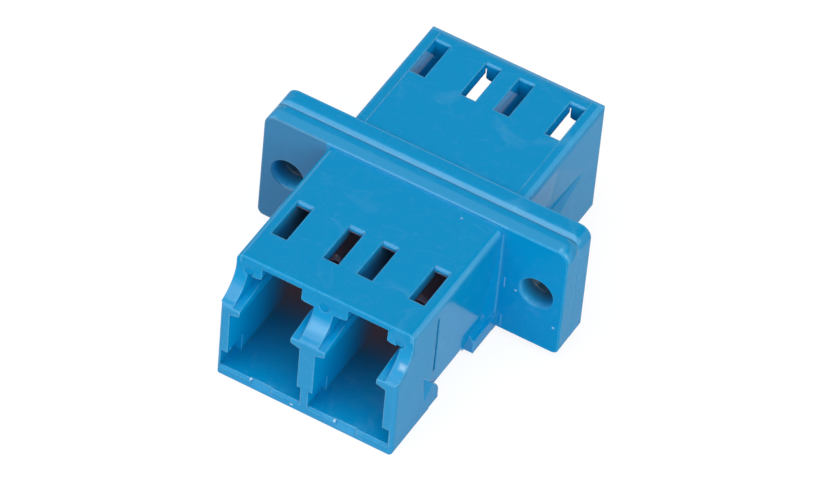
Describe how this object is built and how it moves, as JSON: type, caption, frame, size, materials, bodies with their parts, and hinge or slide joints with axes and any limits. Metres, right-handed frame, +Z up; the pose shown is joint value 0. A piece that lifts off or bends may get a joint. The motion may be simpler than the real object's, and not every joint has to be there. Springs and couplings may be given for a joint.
{
  "type": "fibre optic coupler",
  "caption": "Duplex fibre optic coupler: a flanged moulded body with latching sockets at both ends that joins two pairs of fibre plugs end to end through ceramic split sleeves",
  "frame": {"origin": "under the middle of the whole coupler, on the plane of the body's underside", "axes": "+X across the two ports, +Y along the fibres from the front mouths to the rear mouths, +Z up through the roof with the latch windows"},
  "size_m": [0.0224, 0.0264, 0.0097],
  "materials": {
    "housing": "glossy moulded polymer, bright blue",
    "sleeve": "ground zirconia ceramic, white"
  },
  "bodies": {
    "root": {"front_housing": "housing", "rear_housing": "housing", "sleeve_left": "sleeve", "sleeve_right": "sleeve"}
  },
  "joints": []
}
